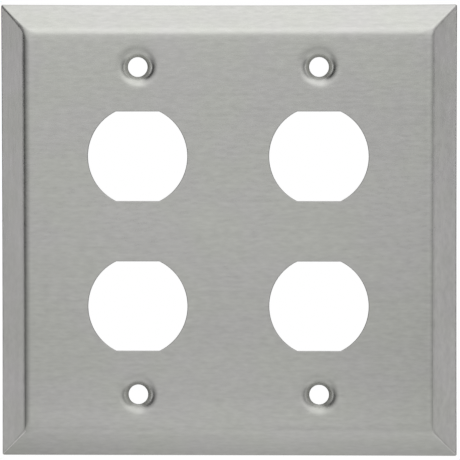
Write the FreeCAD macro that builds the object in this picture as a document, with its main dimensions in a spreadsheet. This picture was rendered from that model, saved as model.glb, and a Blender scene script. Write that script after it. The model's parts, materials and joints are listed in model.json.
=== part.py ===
"""Double-gang stainless wall plate with four double-D port openings.

The plate is one stamping: a flat brushed face, bevelled sides that meet in
mitred corners, a short straight skirt that stands on the wall, four pressed
dimples for the box screws and four double-D openings for bulkhead connectors.
Behind it lies a die-cut foam gasket that seals the plate to the wall.

Frame: +X to the right and +Z up as seen from the front, +Y into the wall.
Origin: centre of the plate, on the wall plane (y = 0).  Millimetres.
"""

import FreeCAD
import Part
import Sketcher
import os
from math import sin, cos, tan, radians, degrees, sqrt, atan2

Vector = FreeCAD.Vector
Constraint = Sketcher.Constraint
doc = FreeCAD.newDocument("wall_plate")

# ----------------------------------------------------------------------------
# Driving dimensions
# ----------------------------------------------------------------------------
DIMS = [
    # alias,             value,     note
    ("plate_width",      116.0,     "overall width of a double-gang plate"),
    ("plate_height",     115.0,     "overall height"),
    ("plate_depth",      5.6,       "wall plane to front face"),
    ("sheet_gauge",      0.8,       "stainless sheet thickness"),
    ("skirt_height",     1.0,       "straight part of the side next to the wall"),
    ("bevel_run",        6.6,       "skirt to the bend line, seen from the front"),
    ("bend_radius",      4.3,       "outside radius between the face and a bevel"),
    ("skirt_radius",     0.7,       "outside radius between a bevel and the skirt"),
    ("corner_radius",    0.5,       "outside radius of the skirt's four corners"),
    ("gang_pitch",       46.04,     "between the two gangs, 1.8125 in"),
    ("screw_pitch",      83.34,     "between upper and lower box screws, 3.281 in"),
    ("port_pitch",       38.1,      "between upper and lower ports, 1.5 in"),
    ("port_diameter",    25.25,     "round part of the double-D"),
    ("port_flats",       22.75,     "across the flats of the double-D"),
    ("port_roll",        0.2,       "front edge rolled over by the punch"),
    ("screw_hole",       5.0,       "punched hole at the bottom of a dimple"),
    ("dimple_reach",     5.95,      "radius at which the face starts to sag"),
    ("sag_radius",       8.0,       "large radius from the face into a dimple"),
    ("sag_angle",        6.0,       "tilt where it tightens to the dimple radius"),
    ("dimple_radius",    3.2,       "radius that leads into the screw seat"),
    ("seat_angle",       45.0,      "tilt of the conical screw seat"),
    ("seat_depth",       2.3,       "front face to the flat land behind the hole"),
    ("gasket_width",     99.4,      "die-cut foam, width"),
    ("gasket_height",    98.4,      "die-cut foam, height"),
    ("gasket_corner",    3.0,       "corner radius of the foam"),
    ("gasket_port",      30.0,      "foam opening around a connector"),
    ("gasket_screw",     11.0,      "foam opening around the back of a dimple"),
]
dims = doc.addObject("Spreadsheet::Sheet", "dims")
dims.set("A1", "dimension")
dims.set("B1", "value (mm, or degrees for angles)")
dims.set("C1", "note")
for row, (alias, value, note) in enumerate(DIMS, start=2):
    dims.set("A%d" % row, alias)
    dims.set("B%d" % row, str(value))
    dims.setAlias("B%d" % row, alias)
    dims.set("C%d" % row, note)
doc.recompute()
size = {alias: float(dims.get(alias)) for alias, _, _ in DIMS}

# Places shared by several features
gauge = size["sheet_gauge"]
front_y = -size["plate_depth"]          # front of the face
back_y = front_y + gauge                # back of the face
half_width = size["plate_width"] / 2
half_height = size["plate_height"] / 2
gang_x = size["gang_pitch"] / 2
port_z = size["port_pitch"] / 2
port_radius = size["port_diameter"] / 2

TOUCH = 1e-4                # two places closer than this are the same
LEAST_CUT = 1.0             # mm3 that every cut must at least remove
OVERLAP_LIMIT = 0.01        # mm3 that the two pieces may share


# ----------------------------------------------------------------------------
# Helpers: document and bodies
# ----------------------------------------------------------------------------
def settle(step):
    """Recomputes and stops if any object is in error."""
    doc.recompute()
    bad = [o.Name for o in doc.Objects if "Invalid" in o.State or "Error" in o.State]
    if bad:
        raise RuntimeError("%s: in error %s" % (step, bad))


def new_body(label):
    body = doc.addObject("PartDesign::Body", label)
    body.Label = label
    return body


def plane(body, role):
    """The body's own origin plane of that role."""
    return [f for f in body.Origin.OriginFeatures if f.Role == role][0]


def names(shape, kind, test):
    """Names of the faces or edges of a shape that pass a test."""
    items = shape.Faces if kind == "Face" else shape.Edges
    return ["%s%d" % (kind, i + 1) for i, item in enumerate(items) if test(item)]


def lies_at_y(edge, y):
    return all(abs(vertex.Point.y - y) < TOUCH for vertex in edge.Vertexes)


def runs_along_y(edge):
    first, last = edge.Vertexes[0].Point, edge.Vertexes[-1].Point
    return abs(first.x - last.x) < TOUCH and abs(first.z - last.z) < TOUCH


# ----------------------------------------------------------------------------
# Helpers: sketches
# ----------------------------------------------------------------------------
def new_sketch(body, name, role="XZ_Plane", **offsets):
    """A sketch on the body's origin plane.  On XZ its normal is -Y, so an
    offset or a pad runs from the wall towards the viewer."""
    sketch = body.newObject("Sketcher::SketchObject", name)
    sketch.AttachmentSupport = (plane(body, role), "")
    sketch.MapMode = "FlatFace"
    for axis, expression in offsets.items():
        sketch.setExpression("AttachmentOffset.Base." + axis, expression)
    return sketch


def drive(sketch, name, expression, *constraint):
    """Adds a dimension, given as Constraint's arguments, and ties it to the sheet."""
    sketch.addConstraint(Constraint(*constraint))
    sketch.renameConstraint(sketch.ConstraintCount - 1, name)
    sketch.setExpression("Constraints." + name, expression)


def chain(sketch, count):
    """Joins the end of each edge to the start of the next, all round."""
    sketch.addConstraint([Constraint("Coincident", i, 2, (i + 1) % count, 1)
                          for i in range(count)])


def line(start, end):
    return Part.LineSegment(Vector(*start, 0), Vector(*end, 0))


def arc(centre, radius, start_angle, end_angle):
    """Counter-clockwise arc; angles in degrees."""
    circle = Part.Circle(Vector(*centre, 0), Vector(0, 0, 1), radius)
    return Part.ArcOfCircle(circle, radians(start_angle), radians(end_angle))


def add_rectangle(sketch, wide, high, width, height):
    """A rectangle centred on the origin; wide and high are expressions,
    width and height the values they give."""
    x, y = width / 2, height / 2
    points = [(-x, -y), (x, -y), (x, y), (-x, y)]
    sketch.addGeometry([line(points[i], points[(i + 1) % 4]) for i in range(4)], False)
    chain(sketch, 4)
    sketch.addConstraint([
        Constraint("Horizontal", 0), Constraint("Horizontal", 2),
        Constraint("Vertical", 1), Constraint("Vertical", 3),
        Constraint("Symmetric", 0, 1, 2, 1, -1, 1),
    ])
    drive(sketch, "wide", wide, "DistanceX", 0, 1, 0, 2, width)
    drive(sketch, "high", high, "DistanceY", 1, 1, 1, 2, height)


def add_gang_circle(sketch, pitch, diameter):
    """A circle in the +X +Z quarter; pitch (vertical) and diameter are aliases."""
    z = size[pitch] / 2
    sketch.addGeometry(
        Part.Circle(Vector(gang_x, z, 0), Vector(0, 0, 1), size[diameter] / 2), False)
    drive(sketch, "across", "dims.gang_pitch / 2", "DistanceX", -1, 1, 0, 3, gang_x)
    drive(sketch, "up", "dims.%s / 2" % pitch, "DistanceY", -1, 1, 0, 3, z)
    drive(sketch, "dia", "dims." + diameter, "Diameter", 0, size[diameter])


# ----------------------------------------------------------------------------
# Helpers: features
# ----------------------------------------------------------------------------
def settle_cut(cut, volume_before):
    """Settles a cut and stops if it removed nothing."""
    settle(cut.Name)
    if not cut.Shape.Volume < volume_before - LEAST_CUT:
        raise RuntimeError("%s removed nothing" % cut.Name)


def cut_through(body, sketch, name):
    """Cuts a sketch through the whole body, both ways from its plane."""
    volume_before = body.Shape.Volume
    cut = body.newObject("PartDesign::Pocket", name)
    cut.Profile = sketch
    cut.Type = 1            # through all
    cut.Midplane = True
    settle_cut(cut, volume_before)
    return cut


def revolve(body, kind, name, sketch):
    """A full turn about the sketch's own vertical axis; kind adds or removes."""
    feature = body.newObject("PartDesign::" + kind, name)
    feature.Profile = sketch
    feature.ReferenceAxis = (sketch, ["V_Axis"])
    feature.Angle = 360
    return feature


def fillet(body, name, base, test, radius):
    """Rounds the edges of base that pass the test; radius is an expression."""
    feature = body.newObject("PartDesign::Fillet", name)
    feature.Base = (base, names(base.Shape, "Edge", test))
    feature.setExpression("Radius", radius)
    settle(name)
    if not feature.Shape.isValid() or feature.Shape.isNull():
        raise RuntimeError("%s is not valid" % name)
    return feature


def four_ways(body, name, features):
    """Repeats features made in the +X +Z quarter in the other three."""
    pattern = body.newObject("PartDesign::MultiTransform", name)
    pattern.Originals = features
    left = doc.addObject("PartDesign::Mirrored", name + "_left")
    left.MirrorPlane = (plane(body, "YZ_Plane"), [""])
    down = doc.addObject("PartDesign::Mirrored", name + "_down")
    down.MirrorPlane = (plane(body, "XY_Plane"), [""])
    pattern.Transformations = [left, down]
    body.Tip = pattern
    settle(name)
    return pattern


# ----------------------------------------------------------------------------
# faceplate: the bent pan
# ----------------------------------------------------------------------------
def add_plate_outline(sketch):
    add_rectangle(sketch, "dims.plate_width", "dims.plate_height",
                  size["plate_width"], size["plate_height"])


def make_pan(body):
    """Skirt and bevels, hollowed from behind to an even sheet."""
    outline = new_sketch(body, "plate_outline")
    add_plate_outline(outline)
    skirt = body.newObject("PartDesign::Pad", "skirt")
    skirt.Profile = outline
    skirt.setExpression("Length", "dims.skirt_height")

    bevel_foot = new_sketch(body, "bevel_foot", z="dims.skirt_height")
    add_plate_outline(bevel_foot)
    bevel_head = new_sketch(body, "bevel_head", z="dims.plate_depth")
    add_rectangle(bevel_head,
                  "dims.plate_width - 2 * dims.bevel_run",
                  "dims.plate_height - 2 * dims.bevel_run",
                  size["plate_width"] - 2 * size["bevel_run"],
                  size["plate_height"] - 2 * size["bevel_run"])
    bevels = body.newObject("PartDesign::AdditiveLoft", "bevels")
    bevels.Profile = bevel_foot
    bevels.Sections = [bevel_head]
    bevels.Ruled = True
    settle("bevels")

    pan = body.newObject("PartDesign::Thickness", "pan")
    pan.Base = (bevels, names(bevels.Shape, "Face",
                              lambda face: abs(face.CenterOfMass.y) < 1e-6))
    pan.setExpression("Value", "dims.sheet_gauge")
    pan.Mode = 0            # skin
    pan.Join = 1            # sharp inner corners
    pan.Reversed = True     # the sheet grows inwards
    settle("pan")
    return pan


def on_side(edge):
    return abs(abs(edge.CenterOfMass.x) - half_width) < TOUCH


def on_top_or_bottom(edge):
    return abs(abs(edge.CenterOfMass.z) - half_height) < TOUCH


def skirt_corner(edge):
    return runs_along_y(edge) and on_side(edge) and on_top_or_bottom(edge)


def skirt_turn(edge):
    return (lies_at_y(edge, -size["skirt_height"])
            and (on_side(edge) or on_top_or_bottom(edge)))


def round_pan(body, pan):
    """The four bends, the skirt's corners and the turn from bevel to skirt."""
    bend_outside = fillet(body, "bend_outside", pan,
                          lambda edge: lies_at_y(edge, front_y), "dims.bend_radius")
    bend_inside = fillet(body, "bend_inside", bend_outside,
                         lambda edge: lies_at_y(edge, back_y),
                         "dims.bend_radius - dims.sheet_gauge")
    corners = fillet(body, "skirt_corners", bend_inside, skirt_corner, "dims.corner_radius")
    fillet(body, "skirt_turn", corners, skirt_turn, "dims.skirt_radius")


# ----------------------------------------------------------------------------
# faceplate: screw dimples
#
# Both profiles lie in the plane through a hole's axis: local x is the radius
# and local y is +Y.  The front runs flat, sags a little, then turns into the
# seat.  The turns in front and behind share one centre.
# ----------------------------------------------------------------------------
sag_angle, seat_angle = radians(size["sag_angle"]), radians(size["seat_angle"])
sag_radius, turn_radius = size["sag_radius"], size["dimple_radius"]
reach = size["dimple_reach"]
sag_end_x = reach - sag_radius * sin(sag_angle)
sag_end_y = front_y + sag_radius * (1 - cos(sag_angle))
turn_x = sag_end_x + turn_radius * sin(sag_angle)
turn_y = sag_end_y + turn_radius * cos(sag_angle)
land_y = front_y + size["seat_depth"]

AT_SCREW = dict(x="dims.gang_pitch / 2", z="dims.screw_pitch / 2")


def turn_end(radius):
    """Where a turn of this radius runs into the cone."""
    return turn_x - radius * sin(seat_angle), turn_y - radius * cos(seat_angle)


def make_dimple_boss(body):
    """The drawn boss behind, from the flat of the sheet to the land round the hole."""
    turn_x_formula = ("(dims.dimple_reach"
                      " - (dims.sag_radius - dims.dimple_radius) * sin(dims.sag_angle))")
    radius_formula = ("(dims.sag_radius * (1 - cos(dims.sag_angle))"
                      " + dims.dimple_radius * cos(dims.sag_angle) - dims.sheet_gauge)")
    radius = turn_y - back_y
    root_y = back_y - gauge / 2         # inside the sheet
    cone_start = turn_end(radius)
    cone_end = (cone_start[0] - (land_y - cone_start[1]) / tan(seat_angle), land_y)

    profile = new_sketch(body, "dimple_back", role="XY_Plane", **AT_SCREW)
    profile.addGeometry([
        line((0, root_y), (turn_x, root_y)),                # 0 inside the sheet
        line((turn_x, root_y), (turn_x, back_y)),           # 1 to the sheet's back
        arc((turn_x, turn_y), radius, 270 - size["seat_angle"], 270),   # 2 turn
        line(cone_start, cone_end),                         # 3 cone
        line(cone_end, (0, land_y)),                        # 4 land
        line((0, land_y), (0, root_y)),                     # 5 on the axis
    ], False)
    profile.addConstraint([
        Constraint("Coincident", 0, 2, 1, 1), Constraint("Coincident", 1, 2, 2, 2),
        Constraint("Tangent", 2, 1, 3, 1), Constraint("Coincident", 3, 2, 4, 1),
        Constraint("Coincident", 4, 2, 5, 1), Constraint("Coincident", 5, 2, 0, 1),
        Constraint("Horizontal", 0), Constraint("Vertical", 1), Constraint("Horizontal", 4),
        Constraint("PointOnObject", 0, 1, -2), Constraint("PointOnObject", 4, 2, -2),
        Constraint("Vertical", 2, 2, 2, 3),
    ])
    drive(profile, "turn_out", turn_x_formula, "DistanceX", -1, 1, 2, 3, turn_x)
    drive(profile, "turn_radius", radius_formula, "Radius", 2, radius)
    drive(profile, "turn_end", radius_formula + " * sin(dims.seat_angle)",
          "DistanceX", 2, 1, 2, 3, radius * sin(seat_angle))
    drive(profile, "sheet_back", "dims.plate_depth - dims.sheet_gauge",
          "DistanceY", 1, 2, -1, 1, -back_y)
    drive(profile, "root", "dims.plate_depth - dims.sheet_gauge / 2",
          "DistanceY", 0, 1, -1, 1, -root_y)
    drive(profile, "land", "dims.plate_depth - dims.seat_depth",
          "DistanceY", 4, 1, -1, 1, -land_y)
    boss = revolve(body, "Revolution", "dimple_boss", profile)
    settle("dimple_boss")
    return boss


def make_screw_seat(body):
    """Cuts the sag, the turn, the cone of the seat and the punched hole in front."""
    hole_radius = size["screw_hole"] / 2
    cone_start = turn_end(turn_radius)
    cone_end = (hole_radius, cone_start[1] + (cone_start[0] - hole_radius) * tan(seat_angle))
    clear_front_y, clear_back_y = front_y - gauge, land_y + gauge
    tilt_sag, tilt_seat = 270 - size["sag_angle"], 270 - size["seat_angle"]

    profile = new_sketch(body, "dimple_front", role="XY_Plane", **AT_SCREW)
    profile.addGeometry([
        line((0, clear_front_y), (reach, clear_front_y)),           # 0 in front of the face
        line((reach, clear_front_y), (reach, front_y)),             # 1 back to the face
        arc((reach, front_y + sag_radius), sag_radius, tilt_sag, 270),      # 2 sag
        arc((turn_x, turn_y), turn_radius, tilt_seat, tilt_sag),    # 3 turn
        line(cone_start, cone_end),                                 # 4 cone
        line(cone_end, (hole_radius, clear_back_y)),                # 5 hole
        line((hole_radius, clear_back_y), (0, clear_back_y)),       # 6 behind the land
        line((0, clear_back_y), (0, clear_front_y)),                # 7 on the axis
    ], False)
    profile.addConstraint([
        Constraint("Coincident", 0, 2, 1, 1), Constraint("Coincident", 1, 2, 2, 2),
        Constraint("Tangent", 2, 1, 3, 2), Constraint("Tangent", 3, 1, 4, 1),
        Constraint("Coincident", 4, 2, 5, 1), Constraint("Coincident", 5, 2, 6, 1),
        Constraint("Coincident", 6, 2, 7, 1), Constraint("Coincident", 7, 2, 0, 1),
        Constraint("Horizontal", 0), Constraint("Vertical", 1),
        Constraint("Vertical", 5), Constraint("Horizontal", 6),
        Constraint("PointOnObject", 0, 1, -2), Constraint("PointOnObject", 6, 2, -2),
        Constraint("Vertical", 2, 2, 2, 3),
    ])
    drive(profile, "reach", "dims.dimple_reach", "DistanceX", -1, 1, 2, 2, reach)
    drive(profile, "face", "dims.plate_depth", "DistanceY", 2, 2, -1, 1, -front_y)
    drive(profile, "sag_radius", "dims.sag_radius", "Radius", 2, sag_radius)
    drive(profile, "sag_end", "dims.sag_radius * sin(dims.sag_angle)",
          "DistanceX", 2, 1, 2, 2, sag_radius * sin(sag_angle))
    drive(profile, "turn_radius", "dims.dimple_radius", "Radius", 3, turn_radius)
    drive(profile, "turn_end", "dims.dimple_radius * sin(dims.seat_angle)",
          "DistanceX", 3, 1, 3, 3, turn_radius * sin(seat_angle))
    drive(profile, "hole", "dims.screw_hole / 2", "DistanceX", -1, 1, 5, 1, hole_radius)
    drive(profile, "clear_front", "dims.plate_depth + dims.sheet_gauge",
          "DistanceY", 0, 1, -1, 1, -clear_front_y)
    drive(profile, "clear_back", "dims.plate_depth - dims.seat_depth - dims.sheet_gauge",
          "DistanceY", 6, 1, -1, 1, -clear_back_y)
    volume_before = body.Shape.Volume
    seat = revolve(body, "Groove", "screw_seat", profile)
    settle_cut(seat, volume_before)
    return seat


# ----------------------------------------------------------------------------
# faceplate: ports
# ----------------------------------------------------------------------------
def make_port(body):
    """Double-D opening: two arcs of one circle joined by flats above and below."""
    half_flats = size["port_flats"] / 2
    half_chord = sqrt(port_radius * port_radius - half_flats * half_flats)
    tip_angle = degrees(atan2(half_flats, half_chord))
    left, right = gang_x - half_chord, gang_x + half_chord
    top, bottom = port_z + half_flats, port_z - half_flats
    centre = (gang_x, port_z)

    outline = new_sketch(body, "port_outline")
    outline.addGeometry([
        arc(centre, port_radius, -tip_angle, tip_angle),                # 0 right
        line((right, top), (left, top)),                                # 1 top flat
        arc(centre, port_radius, 180 - tip_angle, 180 + tip_angle),     # 2 left
        line((left, bottom), (right, bottom)),                          # 3 bottom flat
    ], False)
    chain(outline, 4)
    outline.addConstraint([Constraint("Coincident", 0, 3, 2, 3),
                           Constraint("Horizontal", 1), Constraint("Horizontal", 3)])
    drive(outline, "across", "dims.gang_pitch / 2", "DistanceX", -1, 1, 0, 3, gang_x)
    drive(outline, "up", "dims.port_pitch / 2", "DistanceY", -1, 1, 0, 3, port_z)
    drive(outline, "dia", "dims.port_diameter", "Diameter", 0, 2 * port_radius)
    drive(outline, "flat_up", "dims.port_flats / 2", "DistanceY", 0, 3, 1, 1, half_flats)
    drive(outline, "flats", "dims.port_flats", "DistanceY", 3, 1, 1, 2, 2 * half_flats)
    return cut_through(body, outline, "port")


def port_rim(edge):
    """True for the edges of the ports in the front face."""
    reach_out = port_radius + 0.1       # a little beyond the round part
    centre = edge.CenterOfMass
    return (lies_at_y(edge, front_y)
            and abs(abs(centre.x) - gang_x) < port_radius
            and abs(abs(centre.z) - port_z) < reach_out
            and all(abs(vertex.Point.x) < gang_x + reach_out
                    and abs(vertex.Point.z) < port_z + reach_out
                    for vertex in edge.Vertexes))


def make_faceplate():
    body = new_body("faceplate")
    round_pan(body, make_pan(body))
    boss = make_dimple_boss(body)
    seat = make_screw_seat(body)
    port = make_port(body)
    pattern = four_ways(body, "four_ways", [boss, seat, port])
    fillet(body, "port_rolls", pattern, port_rim, "dims.port_roll")
    return body


# ----------------------------------------------------------------------------
# foam_gasket: die-cut sheet between the face and the wall
# ----------------------------------------------------------------------------
def make_foam_gasket():
    body = new_body("foam_gasket")
    outline = new_sketch(body, "foam_outline")
    add_rectangle(outline, "dims.gasket_width", "dims.gasket_height",
                  size["gasket_width"], size["gasket_height"])
    foam = body.newObject("PartDesign::Pad", "foam")
    foam.Profile = outline
    foam.setExpression("Length", "dims.plate_depth - dims.sheet_gauge")
    settle("foam")
    fillet(body, "foam_corners", foam, runs_along_y, "dims.gasket_corner")

    cuts = []
    for name, pitch, diameter in (("foam_port", "port_pitch", "gasket_port"),
                                  ("foam_screw", "screw_pitch", "gasket_screw")):
        hole = new_sketch(body, name)
        add_gang_circle(hole, pitch, diameter)
        cuts.append(cut_through(body, hole, name + "_cut"))
    four_ways(body, "foam_four_ways", cuts)
    return body


# ----------------------------------------------------------------------------
# Build and export: each piece must be one valid solid, clear of the other
# ----------------------------------------------------------------------------
faceplate = make_faceplate()
foam_gasket = make_foam_gasket()
pieces = [faceplate, foam_gasket]

for item in doc.Objects:
    if "Invalid" in item.State or "Error" in item.State:
        raise RuntimeError("%s is in error" % item.Name)
for piece in pieces:
    shape = piece.Shape
    if shape.isNull() or not shape.isValid() or len(shape.Solids) != 1:
        raise RuntimeError("%s is not one valid solid" % piece.Label)
if faceplate.Shape.common(foam_gasket.Shape).Volume > OVERLAP_LIMIT:
    raise RuntimeError("the foam cuts into the plate")

os.makedirs("parts", exist_ok=True)
for piece in pieces:
    piece.Shape.exportStep("parts/%s.step" % piece.Label)
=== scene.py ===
"""Double-gang stainless wall plate with a foam gasket.

A brushed sheet is bent back along bevelled edges to a short skirt.  It has four
double-D ports and four dimpled screw holes.  The gasket lies inside the skirt.

The plate is centred on x = z = 0 and stands upright: +X right, +Z up, -Y the front.
The wall plane is y = 0.  Geometry is worked out in millimetres as (x, depth, z),
with depth running back from the piece's own front, and is turned into metres when
a mesh is built.
"""
import json
from math import atan2, copysign, cos, pi, radians, sin, sqrt, tan

import bmesh
import bpy
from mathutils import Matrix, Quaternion, Vector, noise


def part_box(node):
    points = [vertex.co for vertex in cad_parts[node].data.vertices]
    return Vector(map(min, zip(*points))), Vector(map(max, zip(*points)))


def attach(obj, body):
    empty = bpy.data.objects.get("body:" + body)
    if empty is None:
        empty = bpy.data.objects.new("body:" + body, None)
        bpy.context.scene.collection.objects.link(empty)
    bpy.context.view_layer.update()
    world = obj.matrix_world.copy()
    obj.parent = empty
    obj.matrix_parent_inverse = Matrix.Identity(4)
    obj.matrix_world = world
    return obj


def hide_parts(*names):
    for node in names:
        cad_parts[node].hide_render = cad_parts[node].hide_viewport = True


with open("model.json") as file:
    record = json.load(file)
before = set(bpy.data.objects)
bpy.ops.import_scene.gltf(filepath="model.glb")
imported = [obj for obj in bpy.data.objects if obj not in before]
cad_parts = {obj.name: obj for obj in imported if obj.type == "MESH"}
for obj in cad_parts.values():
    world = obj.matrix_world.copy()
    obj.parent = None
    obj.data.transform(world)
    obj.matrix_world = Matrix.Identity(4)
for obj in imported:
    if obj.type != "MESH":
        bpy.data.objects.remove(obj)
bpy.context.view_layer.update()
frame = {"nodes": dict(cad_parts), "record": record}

MM = 0.001
NEAR = 1e-6                         # grid lines closer than this are the same

# ----------------------------------------------------------------------------
# Sizes from the frame
# ----------------------------------------------------------------------------
plate_low, plate_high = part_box("faceplate")
HALF_W = (plate_high[0] - plate_low[0]) / 2 / MM
HALF_H = (plate_high[2] - plate_low[2]) / 2 / MM
DEPTH = (plate_high[1] - plate_low[1]) / MM
foam_low, foam_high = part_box("foam_gasket")
FOAM_HALF_W = (foam_high[0] - foam_low[0]) / 2 / MM
FOAM_HALF_H = (foam_high[2] - foam_low[2]) / 2 / MM
FOAM_T = (foam_high[1] - foam_low[1]) / MM
GAUGE = DEPTH - FOAM_T              # thickness of the sheet

mounts = {mount["name"]: mount for mount in frame["record"]["mounts"]}
screw_dims = mounts["box_screws"]["dims"]
SCREW_X = screw_dims["spacing_x_mm"] / 2
SCREW_Z = screw_dims["spacing_y_mm"] / 2
SCREW_R = screw_dims["hole_r_mm"]
port_place = mounts["port_upper_right"]["pos_m"]
PORT_X = abs(port_place[0]) / MM
PORT_Z = abs(port_place[2]) / MM

# ----------------------------------------------------------------------------
# Sizes of the stamping, in millimetres and degrees
# ----------------------------------------------------------------------------
SKIRT, BEVEL_RUN = 1.0, 6.6         # depth of the skirt, width of the bevel from the front
BEND_R, SKIRT_R = 4.3, 0.7          # outside radii: flat to bevel, bevel to skirt
BEND_EASE_R, BEND_EASE_ANGLE = 25.0, 3.0      # the bend starts slowly, on a wide radius
BEVEL_ANGLE = atan2(DEPTH - SKIRT, BEVEL_RUN)             # radians
FLAT_INSET = BEVEL_RUN + BEND_R * tan(BEVEL_ANGLE / 2)    # rim to the edge of the flat
FLAT_HALF_W, FLAT_HALF_H = HALF_W - FLAT_INSET, HALF_H - FLAT_INSET
LEAD = 1.2                          # the flat's grid ends this far inside the bend
FACE_GRAIN_ANGLE = 25.5             # steeper than this, the side edges take their own grain and the side steel's painted light

# Radii of the four corners, seen from the front
CORNER_FLAT_R, CORNER_BEND_R, CORNER_MITRE_R, CORNER_SKIRT_R = 2.6, 0.95, 0.50, 0.45
CORNER_INSIDE_R, CORNER_BACK_FLAT_R = 0.15, 2.2
CORNER_OPENING = 2.2                # growth of a corner's radius per mm from the grid's edge
RIM_BREAK = 0.06                    # radius on the rim's sheared edges

PORT_R, PORT_FLAT = 12.625, 11.375  # double-D: radius, and centre to each flat
PORT_ROLL = 0.2                     # radius rolled on the front edge

# Pressed dimple, from its outer edge inwards: ease, sag, turn, straight seat, hole
DIMPLE_EASE_R, DIMPLE_EASE_ANGLE, DIMPLE_EASE_REACH = 16.0, 2.6, 6.2
SAG_R, SAG_ANGLE, SAG_REACH = 8.0, 6.0, 5.95
TURN_R, SEAT_ANGLE, SEAT_DEPTH = 3.2, 45.0, 2.3
PUNCH_ROLL = 0.18                   # radius rolled on the hole's front edge

# Unevenness of the sheet
EDGE_DRAW_FROM = 44.0               # edges draw in beyond this distance from the centre
SIDE_DRAW, TOP_DRAW, BOTTOM_DRAW = 0.10, 0.24, 0.03
HOLLOW, HOLLOW_REACH = 0.05, 50.0   # depth and half size of the hollow in the face

# The foam
FOAM_PORT_R, FOAM_SCREW_R, FOAM_CORNER_R = 15.0, 5.5, 3.0
FOAM_FRONT = 0.02                   # its front stands this far off the sheet
FOAM_EDGE_R, FOAM_WALL_HOLLOW = 0.16, 0.16
FOAM_SCREW_WALL = 0.6               # the screw holes' wall profile is narrower by this

# Material slots of the stamping
FACE, SIDE, SHEARED, BACK = range(4)


# ----------------------------------------------------------------------------
# Mesh helpers
# ----------------------------------------------------------------------------
class Patchwork:
    """Collects grids of points, then welds them into one mesh."""

    def __init__(self):
        self.verts, self.faces, self.mats = [], [], []

    def loft(self, rows, mats):
        """Join closed rows of points.  Each strip has one material, or a list with
        one for each quad."""
        base, count = len(self.verts), len(rows[0])
        for row in rows:
            self.verts.extend(row)
        for i, mat in enumerate(mats):
            for j in range(count):
                a = base + i * count + j
                b = base + i * count + (j + 1) % count
                self.faces.append((a, b, b + count, a + count))
                self.mats.append(mat[j] if isinstance(mat, list) else mat)

    def flat(self, xs, zs, depth, mat, blocks):
        """A flat grid with the square blocks (x, z, half size) left open."""
        base, count = len(self.verts), len(xs)
        self.verts.extend((x, depth, z) for z in zs for x in xs)
        for j in range(len(zs) - 1):
            for i in range(count - 1):
                x, z = (xs[i] + xs[i + 1]) / 2, (zs[j] + zs[j + 1]) / 2
                if any(abs(x - cx) < half and abs(z - cz) < half for cx, cz, half in blocks):
                    continue
                a = base + j * count + i
                self.faces.append((a, a + 1, a + count + 1, a + count))
                self.mats.append(mat)

    def hole(self, ring, edge, profile):
        """Fill a block round its hole, from the front grid through to the back one.
        ring: the block's (x, z) nodes.  edge: (x, z, outward x, outward z) of each.
        profile: (outward, depth, material)."""
        rows = [[(x, profile[0][1], z) for x, z in ring]]
        for out, depth, _ in profile:
            rows.append([(x + dx * out, depth, z + dz * out) for x, z, dx, dz in edge])
        rows.append([(x, profile[-1][1], z) for x, z in ring])
        self.loft(rows, [mat for _, _, mat in profile] + [profile[-1][2]])

    def build(self, name, materials, weld=1e-6):
        """Weld the patches (distance in metres) and make the object."""
        mesh = bpy.data.meshes.new(name)
        mesh.from_pydata([tuple(c * MM for c in v) for v in self.verts], [], self.faces)
        mesh.polygons.foreach_set("material_index", self.mats)
        bm = bmesh.new()
        bm.from_mesh(mesh)
        bmesh.ops.remove_doubles(bm, verts=bm.verts, dist=weld)
        bmesh.ops.dissolve_degenerate(bm, edges=bm.edges, dist=weld / 2)
        bmesh.ops.recalc_face_normals(bm, faces=bm.faces)
        bm.to_mesh(mesh)
        bm.free()
        for material in materials:
            mesh.materials.append(material)
        obj = bpy.data.objects.new(name, mesh)
        bpy.context.scene.collection.objects.link(obj)
        return obj


def lerp(a, b, t):
    return a + (b - a) * t


def sweep(centre, radius, start, end, steps, first=0):
    """(fraction, out, depth) round an arc in a section.  Angles are in radians from
    straight forwards, positive outwards."""
    points = []
    for i in range(first, steps + 1):
        angle = start + (end - start) * i / steps
        points.append((i / steps, centre[0] + radius * sin(angle),
                       centre[1] - radius * cos(angle)))
    return points


def grid_lines(breaks, step, guard):
    """Grid coordinates through every break and its mirror image, with an extra
    line a guard's distance inside each end."""
    breaks = [-v for v in reversed(breaks)] + breaks
    lines = []
    for a, b in zip(breaks, breaks[1:]):
        count = max(1, int(round(abs(b - a) / step)))
        lines += [a + (b - a) * i / count for i in range(count)]
    lines.append(breaks[-1])
    if guard:
        lines = [lines[0], lines[0] + guard] + lines[1:-1] + [lines[-1] - guard, lines[-1]]
    return lines


def plate_grid(port_half, screw_half, edge_x, edge_z, step, guard=0.0):
    """Grid lines xs and zs, and the blocks (x, z, half size) round the ports and
    screws.  The screw blocks share the ports' columns."""
    xs = grid_lines([PORT_X - port_half, PORT_X - screw_half, PORT_X + screw_half,
                     PORT_X + port_half, edge_x], step, guard)
    zs = grid_lines([PORT_Z - port_half, PORT_Z + port_half, SCREW_Z - screw_half,
                     SCREW_Z + screw_half, edge_z], step, guard)
    signs = [(sx, sz) for sx in (-1, 1) for sz in (-1, 1)]
    ports = [(sx * PORT_X, sz * PORT_Z, port_half) for sx, sz in signs]
    screws = [(sx * SCREW_X, sz * SCREW_Z, screw_half) for sx, sz in signs]
    return xs, zs, ports, screws


def block_ring(xs, zs, block):
    """The grid nodes round a block, counterclockwise from its lower left."""
    cx, cz, half = block
    gx = [x for x in xs if abs(x - cx) <= half + NEAR]
    gz = [z for z in zs if abs(z - cz) <= half + NEAR]
    ring = [(x, gz[0]) for x in gx[:-1]] + [(gx[-1], z) for z in gz[:-1]]
    ring += [(x, gz[-1]) for x in reversed(gx[1:])]
    ring += [(gx[0], z) for z in reversed(gz[1:])]
    return ring


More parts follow.
